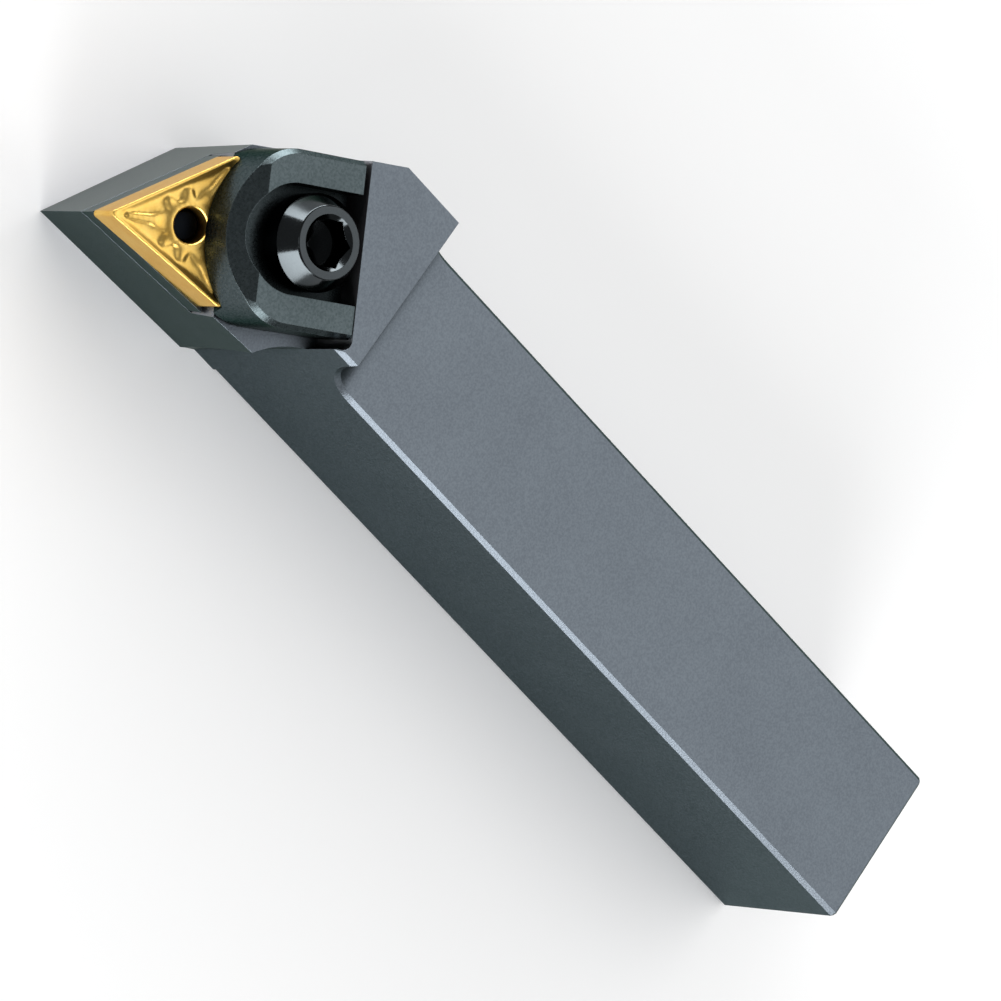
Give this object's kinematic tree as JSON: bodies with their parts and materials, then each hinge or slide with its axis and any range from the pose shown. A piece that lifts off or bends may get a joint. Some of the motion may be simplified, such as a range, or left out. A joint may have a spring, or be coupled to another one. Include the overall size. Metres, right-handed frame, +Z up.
{
  "type": "external turning tool holder with wedge clamp",
  "caption": "Right-hand external turning tool holder, 20 x 20 mm shank, with a triangular indexable insert held by a wedge clamp and one socket-head screw.",
  "frame": {"origin": "centre of the shank's base face, on the shank's centreline, 45 mm ahead of the rear end", "axes": "+X to the right seen from the rear, +Y along the shank from the rear end to the head, +Z up off the base"},
  "size_m": [0.0259, 0.1251, 0.0286],
  "materials": {
    "holder_steel": "satin nickel-plated steel",
    "shim_carbide": "ground carbide, dark grey",
    "pin_steel": "hardened steel, plain",
    "insert_coating": "gold titanium nitride coating, satin",
    "clamp_steel": "dark satin steel",
    "screw_steel": "black oxide steel, glossy",
    "ring_steel": "spring steel"
  },
  "bodies": {
    "holder": {"holder_body": "holder_steel", "shim": "shim_carbide", "locating_pin": "pin_steel", "insert": "insert_coating"},
    "clamp": {"wedge_clamp": "clamp_steel"},
    "screw": {"clamp_screw": "screw_steel", "retaining_ring": "ring_steel"}
  },
  "joints": [
    {"name": "clamp_lift", "type": "slide", "parent": "holder", "child": "clamp", "axis": [0, 0, 1], "range_m": [0, 0.004]},
    {"name": "screw_turn", "type": "hinge", "parent": "clamp", "child": "screw", "pos_m": [-0.00315, 0.06179, 0.0264], "axis": [0, 0, 1], "range_deg": [0, 1440]}
  ],
  "couplings": [
    {"joint": "screw_turn", "follows": "clamp_lift", "rad_per_m": 6283.2}
  ]
}
